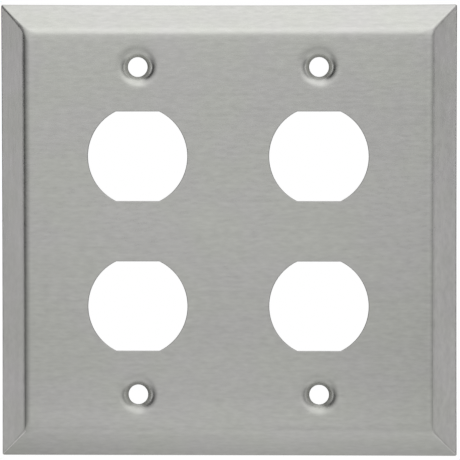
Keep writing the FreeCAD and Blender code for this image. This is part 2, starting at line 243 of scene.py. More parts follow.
def round_edge(ring, block):
    """A round hole's edge, for profiles measured from its centre: the nodes' angles
    are spaced evenly between the block's corners."""
    cx, cz, half = block
    corners = [i for i, (x, z) in enumerate(ring)
               if abs(abs(x - cx) - half) < NEAR and abs(abs(z - cz) - half) < NEAR]
    corners.append(len(ring))
    edge = []
    for quarter in range(4):
        count = corners[quarter + 1] - corners[quarter]
        for i in range(count):
            angle = radians(225 + 90 * (quarter + i / count))
            edge.append((cx, cz, cos(angle), sin(angle)))
    return edge


def outline_sides(xs, zs):
    """The four sides, counterclockwise from the lower one: (runs along x, its inner
    grid lines, its sign, signs of the corner after it, that corner's first angle)."""
    inner_x, inner_z = xs[1:-1], zs[1:-1]
    return ((True, inner_x, -1, (1, -1), -90), (False, inner_z, 1, (1, 1), 0),
            (True, inner_x[::-1], 1, (-1, 1), 90), (False, inner_z[::-1], -1, (-1, -1), 180))


def outline_row(xs, zs, half_x, half_z, radius, depth, corner_steps):
    """The grid's outline, stretched to a rounded rectangle at one depth."""
    row = []
    for along_x, lines, sign, (sx, sz), start in outline_sides(xs, zs):
        if along_x:
            row += [(v / xs[-1] * (half_x - radius), depth, sign * half_z) for v in lines]
        else:
            row += [(sign * half_x, depth, v / zs[-1] * (half_z - radius)) for v in lines]
        for k in range(corner_steps + 1):
            angle = radians(start + 90 * k / corner_steps)
            row.append((sx * (half_x - radius) + radius * cos(angle), depth,
                        sz * (half_z - radius) + radius * sin(angle)))
    return row


# ----------------------------------------------------------------------------
# The stamping
# ----------------------------------------------------------------------------
def rim_profile():
    """(out, depth, corner radius, zone) from the edge of the flat's grid, over the
    bend, bevel and skirt, round the sheared rim and back up the inside."""
    ease = radians(BEND_EASE_ANGLE)
    # where the bend meets the bevel, and where it has to start to get there
    bend_end = BEND_EASE_R * (1 - cos(ease)) + BEND_R * (cos(ease) - cos(BEVEL_ANGLE))
    bend_end = (BEND_R * tan(BEVEL_ANGLE / 2) + bend_end / tan(BEVEL_ANGLE), bend_end)
    start = (bend_end[0] - BEND_EASE_R * sin(ease)
             - BEND_R * (sin(BEVEL_ANGLE) - sin(ease)))
    ease_centre = (start, BEND_EASE_R)
    bend_centre = (start + (BEND_EASE_R - BEND_R) * sin(ease),
                   BEND_EASE_R - (BEND_EASE_R - BEND_R) * cos(ease))

    def opened(out, radius):
        """Corner radius, opening from nothing at the edge of the flat's grid."""
        return min(radius, (out + LEAD) * CORNER_OPENING)

    points = [(-LEAD, 0.0, 0.0, "bend")]
    for _, out, depth in sweep(ease_centre, BEND_EASE_R, 0.0, ease, 5):
        points.append((out, depth, opened(out, CORNER_FLAT_R), "bend"))
    for t, out, depth in sweep(bend_centre, BEND_R, ease, BEVEL_ANGLE, 15, first=1):
        radius = opened(out, lerp(CORNER_FLAT_R, CORNER_BEND_R, t ** 0.8))
        shallow = lerp(ease, BEVEL_ANGLE, t) < radians(FACE_GRAIN_ANGLE)
        points.append((out, depth, radius, "bend" if shallow else "bevel"))

    tangent = SKIRT_R * tan((pi / 2 - BEVEL_ANGLE) / 2)
    bevel_end = (FLAT_INSET - tangent * cos(BEVEL_ANGLE),
                 DEPTH - SKIRT - tangent * sin(BEVEL_ANGLE))
    for t in (0.02, 0.25, 0.5, 0.75, 0.97):
        points.append((lerp(bend_end[0], bevel_end[0], t), lerp(bend_end[1], bevel_end[1], t),
                       lerp(CORNER_BEND_R, CORNER_MITRE_R, min(1.0, t * 1.6)), "bevel"))
    skirt_centre = (FLAT_INSET - SKIRT_R, DEPTH - SKIRT + tangent)
    for t, out, depth in sweep(skirt_centre, SKIRT_R, BEVEL_ANGLE, pi / 2, 8):
        points.append((out, depth, lerp(CORNER_MITRE_R, CORNER_SKIRT_R, t), "bevel"))

    # the rim, its two edges just broken
    broken = DEPTH - RIM_BREAK
    points.append((FLAT_INSET, broken - 0.05, CORNER_SKIRT_R, "bevel"))
    for centre_out, radius, angle in (
            (FLAT_INSET - RIM_BREAK, CORNER_SKIRT_R, pi / 2),
            (FLAT_INSET - GAUGE + RIM_BREAK, CORNER_INSIDE_R, pi)):
        for _, out, depth in sweep((centre_out, broken), RIM_BREAK, angle, angle + pi / 2, 3):
            points.append((out, depth, radius, "shear"))

    # inside: skirt, crease, bevel, bend
    crease_out = FLAT_INSET - GAUGE
    crease_depth = (DEPTH - SKIRT + GAUGE * cos(BEVEL_ANGLE)
                    - (GAUGE - GAUGE * sin(BEVEL_ANGLE)) * tan(BEVEL_ANGLE))
    for d_out, d_depth in ((0.0, 0.08), (-0.02, 0.02), (-0.09, -0.06)):
        points.append((crease_out + d_out, crease_depth + d_depth, CORNER_INSIDE_R, "back"))
    inner_r = BEND_R - GAUGE
    inner_end = (bend_centre[0] + inner_r * sin(BEVEL_ANGLE),
                 bend_centre[1] - inner_r * cos(BEVEL_ANGLE))
    for t in (0.25, 0.5, 0.75, 0.97):
        points.append((lerp(crease_out, inner_end[0], t), lerp(crease_depth, inner_end[1], t),
                       CORNER_INSIDE_R, "back"))
    for t, out, depth in sweep(bend_centre, inner_r, BEVEL_ANGLE, ease, 10):
        radius = opened(out, lerp(CORNER_INSIDE_R, CORNER_BACK_FLAT_R, t))
        points.append((out, depth, radius, "back"))
    for _, out, depth in sweep(ease_centre, BEND_EASE_R - GAUGE, ease, 0.0, 3, first=1):
        points.append((out, depth, opened(out, CORNER_BACK_FLAT_R), "back"))
    points.append((-LEAD, GAUGE, 0.0, "back"))
    return points


def add_rim(patch, xs, zs):
    """Bends, bevels, skirt and rim, once round with mitred corners."""
    corner_steps = 6
    half_corner = corner_steps // 2
    bevel_mats = []                 # the grain, and the side steel's painted light, change halfway round each corner
    for along_x, lines, *_ in outline_sides(xs, zs):
        here, there = (FACE, SIDE) if along_x else (SIDE, FACE)
        bevel_mats += [here] * (len(lines) + half_corner) + [there] * (half_corner + 1)
    zone_mats = {"bend": FACE, "bevel": bevel_mats, "shear": SHEARED, "back": BACK}

    profile = rim_profile()
    rows = [outline_row(xs, zs, FLAT_HALF_W + out, FLAT_HALF_H + out, radius, depth,
                        corner_steps) for out, depth, radius, _ in profile]
    # a strip on the front belongs to the zone it leaves, any other to the one it reaches
    zones = [point[3] for point in profile]
    mats = [zone_mats[zone if zone in ("shear", "back") else before]
            for before, zone in zip(zones, zones[1:])]
    patch.loft(rows, mats)


def port_edge(ring, block, flat_half):
    """A double-D edge.  Its flats' ends lie on the block's nodes flat_half either
    side of the centre."""
    cx, cz, half = block
    chord = sqrt(PORT_R ** 2 - PORT_FLAT ** 2)
    tip = atan2(PORT_FLAT, chord)
    lower_left, lower_right, upper_right, upper_left = [
        i for i, (x, z) in enumerate(ring)
        if abs(abs(x - cx) - flat_half) < NEAR and abs(abs(z - cz) - half) < NEAR]
    edge = [None] * len(ring)

    def fill(first, last, point):
        count = (last - first) % len(ring)
        for k in range(count + 1):
            edge[(first + k) % len(ring)] = point(k / count)

    def flat(side):
        return lambda t: (cx + side * chord * (1 - 2 * t), cz + side * PORT_FLAT, 0.0, side)

    def bow(middle):
        def point(t):
            angle = middle - tip + 2 * tip * t
            return (cx + PORT_R * cos(angle), cz + PORT_R * sin(angle), cos(angle), sin(angle))
        return point

    fill(lower_left, lower_right, flat(-1.0))
    fill(upper_right, upper_left, flat(1.0))
    fill(lower_right, upper_right, bow(0.0))
    fill(upper_left, lower_left, bow(pi))
    # at the four tips the wall's outward direction is between the two, mitred
    for i, sx, sz in ((lower_left, -1, -1), (lower_right, 1, -1),
                      (upper_right, 1, 1), (upper_left, -1, 1)):
        bow_x, bow_z = sx * cos(tip), sz * sin(tip)
        between_x, between_z = bow_x, bow_z + sz
        share = between_x * bow_x + between_z * bow_z
        edge[i] = (cx + sx * chord, cz + sz * PORT_FLAT, between_x / share, between_z / share)
    return edge


def port_profile():
    """(outward, depth, material): rolled front edge, smooth then flared wall, back."""
    profile = [(PORT_ROLL + out, 0.0, FACE) for out in (1.86, 1.02, 0.45, 0.08)]
    for _, out, depth in sweep((PORT_ROLL, PORT_ROLL), PORT_ROLL, 0.0, -pi / 2, 6):
        profile.append((out, depth, FACE if depth < PORT_ROLL * 0.12 else SHEARED))
    profile += [
        (0.0, 0.40, SHEARED), (0.02, 0.46, SHEARED), (0.045, GAUGE - 0.04, SHEARED),
        (0.06, GAUGE - 0.01, SHEARED), (0.09, GAUGE, BACK), (0.2, GAUGE, BACK),
        (0.9, GAUGE, BACK)]
    return profile


def dimple_profile():
    """(radius, depth, material) from the flat into the dimple, through the hole and
    out along the back."""
    ease, sag, seat = radians(DIMPLE_EASE_ANGLE), radians(SAG_ANGLE), radians(SEAT_ANGLE)
    ease_end = (DIMPLE_EASE_REACH - DIMPLE_EASE_R * sin(ease), DIMPLE_EASE_R * (1 - cos(ease)))
    sag_end = (SAG_REACH - SAG_R * sin(sag), SAG_R * (1 - cos(sag)))
    turn_centre = (sag_end[0] + TURN_R * sin(sag), sag_end[1] + TURN_R * cos(sag))
    turn_end = (turn_centre[0] - TURN_R * sin(seat), turn_centre[1] - TURN_R * cos(seat))

    profile = [(DIMPLE_EASE_REACH + 0.1, 0.0, FACE)]
    for _, r, depth in sweep((DIMPLE_EASE_REACH, DIMPLE_EASE_R), DIMPLE_EASE_R, 0.0, -ease, 4):
        profile.append((r, depth, FACE))
    # the sag is fitted between the end of the ease and the start of the turn
    fitted_r = (ease_end[0] - sag_end[0]) / (sin(sag) - sin(ease))
    for i in range(1, 5):
        angle = lerp(ease, sag, i / 4)
        fall = (cos(ease) - cos(angle)) / (cos(ease) - cos(sag))
        profile.append((ease_end[0] - fitted_r * (sin(angle) - sin(ease)),
                        lerp(ease_end[1], sag_end[1], fall), FACE))
    for _, r, depth in sweep(turn_centre, TURN_R, -sag, -seat, 15, first=1):
        profile.append((r, depth, FACE))

    # straight seat, then the hole's rolled edge and wall
    roll_centre = (SCREW_R + PUNCH_ROLL,
                   turn_end[1] + (turn_end[0] - SCREW_R - PUNCH_ROLL) * tan(seat)
                   + PUNCH_ROLL / cos(seat))
    roll_start = roll_centre[0] - PUNCH_ROLL * sin(seat)
    for t in (0.45, 0.9):
        profile.append((lerp(turn_end[0], roll_start, t),
                        turn_end[1] + (turn_end[0] - roll_start) * tan(seat) * t, FACE))
    for t, r, depth in sweep(roll_centre, PUNCH_ROLL, -seat, -pi / 2, 6):
        profile.append((r, depth, FACE if t == 0 else SHEARED))
    profile += [(SCREW_R, (roll_centre[1] + SEAT_DEPTH) / 2, SHEARED),
                (SCREW_R + 0.03, SEAT_DEPTH - 0.05, SHEARED),
                (SCREW_R + 0.07, SEAT_DEPTH, BACK)]

    # the back: lip, slope, turn and out to the flat
    back_r = turn_centre[1] - GAUGE
    slope_top = (turn_centre[0] - back_r * sin(seat), turn_centre[1] - back_r * cos(seat))
    lip = slope_top[0] - (SEAT_DEPTH - slope_top[1]) / tan(seat)
    profile += [(lip - 0.05, SEAT_DEPTH, BACK), (lip + 0.03, SEAT_DEPTH - 0.04, BACK),
                ((lip + slope_top[0]) / 2, (SEAT_DEPTH + slope_top[1]) / 2, BACK)]
    for _, r, depth in sweep(turn_centre, back_r, -seat, 0.0, 9):
        profile.append((r, depth, BACK))
    profile += [(turn_centre[0] + 0.15, GAUGE, BACK), (SAG_REACH, GAUGE, BACK)]
    return profile


def drawn_in(value, half, amount):
    """Pull a coordinate towards the centre by up to amount at the rim."""
    t = min(1.0, max(0.0, (abs(value) - EDGE_DRAW_FROM) / (half - EDGE_DRAW_FROM)))
    return value - copysign(amount * t * t * (3 - 2 * t), value)


def unevenness(x, depth, z):
    """Sheet metal is never quite straight: the edges draw in most at their middles,
    and the face stays a touch hollow inside its rim."""
    side_draw = SIDE_DRAW * (1 - (z / HALF_H) ** 2)
    end_draw = (TOP_DRAW if z > 0 else BOTTOM_DRAW) * (1 - (x / HALF_W) ** 2)
    inner = max(0.0, 1 - (x / HOLLOW_REACH) ** 2) * max(0.0, 1 - (z / HOLLOW_REACH) ** 2)
    return (drawn_in(x, HALF_W, side_draw), -DEPTH + depth + HOLLOW * inner,
            drawn_in(z, HALF_H, end_draw))


def build_faceplate(materials):
    patch = Patchwork()
    screw_half = 6.4
    xs, zs, ports, screws = plate_grid(
        port_half=15.0, screw_half=screw_half, edge_x=FLAT_HALF_W - LEAD,
        edge_z=FLAT_HALF_H - LEAD, step=1.02, guard=0.2)
    for depth, mat in ((0.0, FACE), (GAUGE, BACK)):
        patch.flat(xs, zs, depth, mat, ports + screws)
    for block in ports:
        ring = block_ring(xs, zs, block)
        patch.hole(ring, port_edge(ring, block, screw_half), port_profile())
    for block in screws:
        ring = block_ring(xs, zs, block)
        patch.hole(ring, round_edge(ring, block), dimple_profile())
    add_rim(patch, xs, zs)
    patch.verts = [unevenness(*vert) for vert in patch.verts]
    return patch.build("faceplate_sheet", materials)


# ----------------------------------------------------------------------------
# The foam gasket
# ----------------------------------------------------------------------------
def foam_wall():
    """(into the foam, depth) down a die-cut wall: hollow in the middle, with its
    edges softly turned in."""
    edge = FOAM_EDGE_R
    points = [(0.9, FOAM_FRONT), (0.35, FOAM_FRONT)]
    points += [p[1:] for p in sweep((edge, FOAM_FRONT + edge), edge, 0.0, -pi / 2, 4)]
    straight = FOAM_T - FOAM_FRONT - 2 * edge
    steps = 12
    for i in range(1, steps):
        t = i / steps
        points.append((FOAM_WALL_HOLLOW * sin(pi * t), FOAM_FRONT + edge + straight * t))
    points += [p[1:] for p in sweep((edge, FOAM_T - edge), edge, -pi / 2, -pi, 4)]
    points += [(0.35, FOAM_T), (0.9, FOAM_T)]
    return points


def foam_unevenness(x, depth, z):
    """The free back is faintly uneven; it only ever falls short of the wall plane."""
    if depth > FOAM_T - 0.3:
        broad = 0.5 + 0.5 * noise.noise((x / 9.0, z / 9.0, 3.3))
        small = 0.5 + 0.5 * noise.noise((x / 1.9, z / 1.9, 8.1))
        depth = depth - 0.10 * broad - 0.035 * small
    return (x, -FOAM_T + depth, z)


def build_gasket(material):
    patch = Patchwork()
    xs, zs, ports, screws = plate_grid(
        port_half=16.0, screw_half=6.3, edge_x=FOAM_HALF_W - 1.4,
        edge_z=FOAM_HALF_H - 1.0, step=1.25)
    for depth in (FOAM_FRONT, FOAM_T):
        patch.flat(xs, zs, depth, 0, ports + screws)
    wall = foam_wall()
    for blocks, radius, width in ((ports, FOAM_PORT_R, 1.0),
                                  (screws, FOAM_SCREW_R, FOAM_SCREW_WALL)):
        profile = [(radius + into * width, depth, 0) for into, depth in wall]
        for block in blocks:
            ring = block_ring(xs, zs, block)
            patch.hole(ring, round_edge(ring, block), profile)

    # the outer edge, with rounded corners
    stations = [(xs[-1], zs[-1], 0.0, FOAM_FRONT)]
    stations += [(FOAM_HALF_W - into, FOAM_HALF_H - into, FOAM_CORNER_R - into, depth)
                 for into, depth in wall]
    stations.append((xs[-1], zs[-1], 0.0, FOAM_T))
    rows = [outline_row(xs, zs, *station, corner_steps=8) for station in stations]
    patch.loft(rows, [0] * (len(rows) - 1))
    patch.verts = [foam_unevenness(*vert) for vert in patch.verts]
    return patch.build("gasket_foam", [material])


# ----------------------------------------------------------------------------
# Shader helpers
# ----------------------------------------------------------------------------
class Nodes:
    """Adds nodes to an emptied shader tree.  An input may be a value or a socket."""

    def __init__(self, tree, output_kind):
        self.tree = tree
        tree.nodes.clear()
        self.output = self.new(output_kind)

    def feed(self, socket, value):
        if isinstance(value, bpy.types.NodeSocket):
            self.tree.links.new(value, socket)
        else:
            socket.default_value = value

    def new(self, kind, settings=None, **inputs):
        """A node; an underscore in an input's name stands for a space."""
        node = self.tree.nodes.new("ShaderNode" + kind)
        for name, value in (settings or {}).items():
            setattr(node, name, value)
        for name, value in inputs.items():
            self.feed(node.inputs[name.replace("_", " ")], value)
        return node

    def finish(self, shader):
        self.feed(self.output.inputs[0], shader.outputs[0])

    def mix_shaders(self, factor, first, second):
        node = self.new("MixShader")
        for socket, value in zip(node.inputs, (factor, first.outputs[0], second.outputs[0])):
            self.feed(socket, value)
        return node

    def maths(self, operation, a, b=None, clamp=False):
        node = self.new("Math", {"operation": operation, "use_clamp": clamp})
        self.feed(node.inputs[0], a)
        if b is not None:
            self.feed(node.inputs[1], b)
        return node.outputs[0]

    def add(self, *terms):
        total = terms[0]
        for term in terms[1:]:
            total = self.maths("ADD", total, term)
        return total

    def sub(self, a, b):
        return self.maths("SUBTRACT", a, b)

    def mul(self, *factors):
        product = factors[0]
        for factor in factors[1:]:
            product = self.maths("MULTIPLY", product, factor)
        return product

    def swing(self, *terms):
        """Sum of strength * (noise - 0.5) over (strength, noise) terms."""
        return self.add(*[self.mul(self.sub(value, 0.5), strength)
                          for strength, value in terms])

    def around(self, middle, *terms, clamp=False):
        """A middle value with the swing of (strength, noise) terms about it."""
        return self.maths("ADD", self.swing(*terms), middle, clamp=clamp)

    def remap(self, value, old, new=(0.0, 1.0), interpolation="LINEAR"):
        node = self.new("MapRange", {"interpolation_type": interpolation}, Value=value,
                        From_Min=old[0], From_Max=old[1], To_Min=new[0], To_Max=new[1])
        return node.outputs[0]

    def split(self, vector):
        return self.new("SeparateXYZ", Vector=vector).outputs

    def coords(self, size, offset=(0, 0, 0)):
        """Object coordinates in units of size (millimetres along x, y, z)."""
        texture = self.new("TexCoord")
        mapping = self.new("Mapping", Vector=texture.outputs["Object"],
                           Scale=[1000 * (1 / s) for s in size], Location=offset)
        return mapping.outputs["Vector"]

    def noise(self, size, offset=(0, 0, 0), detail=2.0, roughness=0.5):
        node = self.new("TexNoise", Vector=self.coords(size, offset), Scale=1.0,
                        Detail=detail, Roughness=roughness)
        return node.outputs["Fac"]

    def scaled(self, colour, factor):
        node = self.new("VectorMath", {"operation": "SCALE"}, Vector=colour, Scale=factor)
        return node.outputs[0]

    def bump(self, height, strength, distance):
        node = self.new("Bump", Strength=strength, Distance=distance, Height=height)
        return node.outputs[0]


def new_material(name):
    material = bpy.data.materials.new(name)
    material.use_nodes = True
    return material, Nodes(material.node_tree, "OutputMaterial")


# ----------------------------------------------------------------------------
# Materials
# ----------------------------------------------------------------------------
# The studio's lights are all far off, so the two tone functions stand in for lights
# near the plate that fall off over it.  They change the base colour's share.
# across and up run from about -1 to 1 over the plate.
TONE_REACH = 57.0                   # millimetres for one unit of across and up


def face_tone(nodes, gain, across, up):
    up_held = nodes.maths("MAXIMUM", nodes.maths("MINIMUM", up, 0.86), -0.86)
    across_2, up_2 = nodes.mul(across, across), nodes.mul(up_held, up_held)
    terms = [nodes.mul(*factors) for factors in (
        # powers of the position, and the weight of each
        (up_2, -0.16), (across_2, -0.065), (up, 0.086), (up_2, up_2, 0.324),
        (up_2, up_held, -0.091), (across, -0.023), (across_2, up, 0.038))]
    terms.append(0.014)             # even lift
    # the lower bevel: darker towards the rim
    terms.append(nodes.remap(up, old=(-0.905, -1.005), new=(0.03, -0.13)))
    # the upper and lower bevels: lighter to the right
    for start, end, amount in ((0.885, 0.905, 0.045), (-0.885, -0.905, 0.075)):
        terms.append(nodes.mul(across, nodes.remap(up, old=(start, end), new=(0.0, amount))))
    gain = nodes.add(gain, nodes.add(*terms))

    # painted shade: the upper shoulders of the two upper dimples are darker
    x, _, z = nodes.split(nodes.coords((1.0,) * 3))
    dx = nodes.sub(nodes.maths("ABSOLUTE", x, 0.0), SCREW_X)
    dz = nodes.sub(z, SCREW_Z)
    radius = nodes.maths("POWER", nodes.add(nodes.mul(dx, dx), nodes.mul(dz, dz)), 0.5)
    above = nodes.maths("DIVIDE", dz, nodes.maths("MAXIMUM", radius, 0.5))
    above = nodes.maths("MULTIPLY", above, 1.3, clamp=True)
    ring = nodes.mul(nodes.remap(radius, old=(3.2, 4.1)),
                     nodes.remap(radius, old=(4.4, 6.8), new=(1.0, 0.0)))
    shoulder_painted_shade = 0.17
    return nodes.sub(gain, nodes.mul(ring, above, shoulder_painted_shade))


def side_tone(nodes, gain, across, up):
    # darker upwards, most on the left; a lift at the lower left; darker to the right
    slope = nodes.add(nodes.mul(across, 0.028), -0.158)
    leftness = nodes.add(nodes.mul(across, -0.5), 0.5)
    corner = nodes.mul(leftness, nodes.remap(up, old=(-0.55, -0.92), new=(0.0, 0.05)))
    return nodes.add(gain, nodes.mul(up, slope), corner, nodes.mul(across, -0.008))


def brushed(name, grain, base, streak, broaden, tone):
    """Straight-brushed stainless.  grain: the axis the lines run along.  streak and
    broaden: the lines' contrast and width.  tone: one of the functions above."""
    material, nodes = new_material(name)

    def lines(length, width, seed, roughness=0.5):
        width *= broaden
        size = (length, width / 0.9, width) if grain == "x" else (width, width / 0.9, length)
        return nodes.noise(size, (seed, seed * 1.7, seed * 0.6), roughness=roughness)

    fine = lines(length=4.0, width=0.16, seed=3.1, roughness=0.6)
    middle = lines(length=2.3, width=0.75, seed=11.7)
    wide = lines(length=22.0, width=1.0, seed=23.9)
    soft = nodes.noise((14.0, 14.0, 11.0), (5, 2, 9))
    cloud = nodes.noise((42.0, 42.0, 30.0), (1, 7, 4), detail=1.0)

    gain = nodes.around(1.0, (0.06 * streak, fine), (0.25 * streak, middle),
                        (0.10 * streak, wide), (0.03, soft), (0.02, cloud))
    across, _, up = nodes.split(nodes.coords((TONE_REACH,) * 3))
    gain = tone(nodes, gain, across, up)

    # faint patches of pinker and greener steel
    pinker, greener = (1.006, 0.998, 1.012), (0.996, 1.004, 0.985)
    hue = nodes.new("Mix", {"data_type": "RGBA"},
                    A=[c * t for c, t in zip(base, pinker)] + [1],
                    B=[c * t for c, t in zip(base, greener)] + [1],
                    Factor=nodes.remap(soft, old=(0.38, 0.62)))

    # a little rougher towards the foot, for the same reason as the tone
    mean_roughness, foot_slope = 0.30, -0.05
    roughness = nodes.add(nodes.swing((0.10, fine), (0.08, middle), (0.05, soft)),
                          nodes.mul(up, foot_slope))
    tangent = nodes.new("CombineXYZ", X=0 if grain == "x" else 1, Y=0,
                        Z=1 if grain == "x" else 0)
    nodes.finish(nodes.new(
        "BsdfPrincipled",
        Base_Color=nodes.scaled(hue.outputs["Result"], gain),
        Roughness=nodes.maths("ADD", roughness, mean_roughness, clamp=True),
        Metallic=1.0,
        Anisotropic=0.75,
        Tangent=tangent.outputs[0],
        Normal=nodes.bump(nodes.swing((1.0, fine), (1.4, middle)),
                          strength=0.18, distance=0.000012)))
    return material


def sheared():
    """The sheared and punched edges: bright, with marks straight through the sheet."""
    material, nodes = new_material("sheared_edge")
    lines = nodes.noise((0.09, 1.6, 0.09), (4, 8, 1), roughness=0.6)
    grit = nodes.noise((0.05,) * 3, detail=1.0)
    nodes.finish(nodes.new(
        "BsdfPrincipled",
        Base_Color=nodes.scaled((0.47, 0.466, 0.457),
                                nodes.around(1.0, (0.35, lines), (0.15, grit))),
        Metallic=1.0,
        Roughness=nodes.around(0.34, (0.25, lines), (0.12, grit), clamp=True),
        Normal=nodes.bump(lines, strength=0.6, distance=0.00002)))
    return material


def mill_back():
    """The unbrushed back: cold-rolled finish, faint roll lines and handling marks."""
    material, nodes = new_material("mill_back")
    roll = nodes.noise((30.0, 1.0, 0.6), (2, 3, 5))
    cloud = nodes.noise((9.0, 9.0, 7.0), (6, 1, 2), detail=3.0, roughness=0.55)
    fine = nodes.noise((0.12,) * 3, detail=1.0)
    nodes.finish(nodes.new(
        "BsdfPrincipled",
        Base_Color=nodes.scaled((0.56, 0.56, 0.555), nodes.around(
            1.0, (0.07, roll), (0.10, cloud), (0.06, fine))),
        Metallic=1.0,
        Roughness=nodes.around(0.33, (0.14, cloud), (0.08, roll), clamp=True),
        Normal=nodes.bump(fine, strength=0.3, distance=0.00001)))
    return material


def foam_material():
    """Black closed-cell foam: small cells, darker at their centres."""
    material, nodes = new_material("closed_cell_foam")
    voronoi = nodes.new("TexVoronoi", {"feature": "SMOOTH_F1"}, Scale=1.0,
                        Vector=nodes.coords((0.42,) * 3))
    cells = voronoi.outputs["Distance"]
    small = nodes.noise((0.16,) * 3, roughness=0.6)
    cloud = nodes.noise((12.0,) * 3, detail=3.0)
    tone = nodes.add(nodes.remap(cells, old=(0.05, 0.55), new=(0.55, 1.25)),
                     nodes.swing((0.5, small), (0.35, cloud)))
    nodes.finish(nodes.new(
        "BsdfPrincipled",
        Base_Color=nodes.scaled((0.030, 0.030, 0.032), tone),
        Roughness=nodes.around(0.78, (0.2, small), clamp=True),
        Specular_IOR_Level=0.35,
        Sheen_Weight=0.12,
        Sheen_Roughness=0.5,
        Normal=nodes.bump(nodes.add(cells, nodes.swing((0.4, small))),
                          strength=0.7, distance=0.00008)))
    return material


# ----------------------------------------------------------------------------
# Build the pieces
# ----------------------------------------------------------------------------
face_steel = brushed("brushed_face", grain="x", base=(0.60, 0.602, 0.577),
                     streak=1.0, broaden=1.0, tone=face_tone)
# The side steel's base colour is lighter than the face's: painted light on the left and right
# bevels.
side_steel = brushed("brushed_side", grain="z", base=(0.708, 0.700, 0.6845),
                     streak=1.5, broaden=1.7, tone=side_tone)
sheet = build_faceplate([face_steel, side_steel, sheared(), mill_back()])
foam = foam_material()
gasket = build_gasket(foam)
for obj, sharp_angle in ((sheet, 28), (gasket, 40)):
    obj.data.shade_smooth()
    obj.data.set_sharp_from_angle(angle=radians(sharp_angle))
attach(sheet, "root")
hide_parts("faceplate")
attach(gasket, "root")
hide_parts("foam_gasket")

# the CAD solids stay in the frame for collision; give them the same finishes
for name, material in (("faceplate", face_steel), ("foam_gasket", foam)):
    for slot in frame["nodes"][name].material_slots:
        slot.material = material

# ----------------------------------------------------------------------------
# Studio
# ----------------------------------------------------------------------------
scene = bpy.context.scene
scene.view_settings.view_transform = "Standard"
scene.view_settings.look = "None"
scene.view_settings.exposure = 0.0
scene.view_settings.gamma = 1.0

# Curves of the studio's brightness, as (position, level).  Round curves run over
# degrees of azimuth: 0 is the front, positive to the right.  Height curves run over
# degrees of elevation.
STUDIO_LEVEL = 0.642
ROUND = [
    (-180, .62), (-125, .66), (-100, .78), (-86, .90), (-75, .95), (-66, 1.0), (-55, 1.0),
    (-42, .95), (-30, .92), (-20, .92), (-12, 1.02), (-6, 1.03), (-2, .99), (2, .93),
    (6, .92), (12, .98), (20, 1.0), (32, .96), (48, .70), (56, .44), (63, .46), (70, .64),
    (76, .84), (86, .80), (100, .66), (125, .60), (180, .62)]
ROUND_WEIGHT = [                    # how far the round curve counts, by height
    (-90, 0), (-55, 0), (-41, .15), (-30, .45), (-16, 1), (34, 1), (62, 0), (90, 0)]
HEIGHT = [
    (-90, 1.14), (-72, .96), (-58, 1.09), (-45, 1.09), (-30, .94), (-20, .83), (-12, .79),
    (-5, .895), (0, 1.0), (8, 1.08), (14, 1.23), (24, 1.54), (34, 1.80), (50, 1.78),
    (66, 1.56), (80, 1.54), (90, 1.54)]
# a dark flag on the left
FLAG = [
    (-180, 0), (-78, 0), (-72, .35), (-66, .88), (-58, 1.0), (-50, .88), (-42, .62),
    (-30, .28), (-20, .08), (-12, 0), (180, 0)]
FLAG_HEIGHT = [
    (-90, 0), (-50, .05), (-40, .15), (-25, .35), (-14, .75), (-5, .96), (0, 1.0),
    (34, 1.0), (60, 0), (90, 0)]
# a low strip light on each side
STRIPS = [
    (-180, 0), (-96, 0), (-90, .05), (-83, .28), (-77, .86), (-71, .42), (-66, .15),
    (-62, 0), (66, 0), (72, .40), (78, .68), (85, .28), (94, 0), (180, 0)]
STRIP_HEIGHT = [(-90, 0), (-11, 0), (-7.5, 1.45), (-4, 1.45), (0, 1.45), (3, 0), (90, 0)]
# a pale card low down on each side of the front
CARDS = [
    (-180, 0), (-62, 0), (-50, 1), (-38, 1), (-28, 0), (28, 0), (38, 1), (50, 1), (62, 0),
    (180, 0)]
CARD_HEIGHT = [(-90, 0), (-52, 0), (-42, .30), (-32, .30), (-24, 0), (90, 0)]
# dark stands high up to the left and, fainter, to the right
STANDS = [
    (-180, 0), (-128, 0), (-108, .5), (-92, .72), (-60, .72), (-46, 0), (46, 0), (60, .26),
    (110, .32), (132, 0), (180, 0)]
STAND_HEIGHT = [(-90, 0), (18, 0), (32, 1.0), (50, 1.0), (61, 0), (90, 0)]
# dim beside and just behind the plate, open further back: positions run from -1
# straight behind to 1 straight in front
BEHIND = [
    (-1.0, 1.0), (-.75, 1.0), (-.5, .22), (-.18, .18), (-.02, .65), (.10, 1.0), (1.0, 1.0)]
BEHIND_HEIGHT = [(-90, .12), (-55, .2), (-30, 1.0), (30, 1.0), (50, .22), (90, .1)]


def curve(nodes, value, stops, name):
    """A float curve as a colour ramp over the span of its stops."""
    low, high = stops[0][0], stops[-1][0]
    ramp = nodes.new("ValToRGB", {"name": name}, Fac=nodes.remap(value, old=(low, high)))
    ramp.color_ramp.interpolation = "LINEAR"
    elements = ramp.color_ramp.elements
    while len(elements) > 1:
        elements.remove(elements[-1])
    for i, (place, level) in enumerate(stops):
        position = (place - low) / (high - low)
        element = elements[0] if i == 0 else elements.new(position)
        element.position = position
        element.color = (level, level, level, 1)
    return ramp.outputs[0]


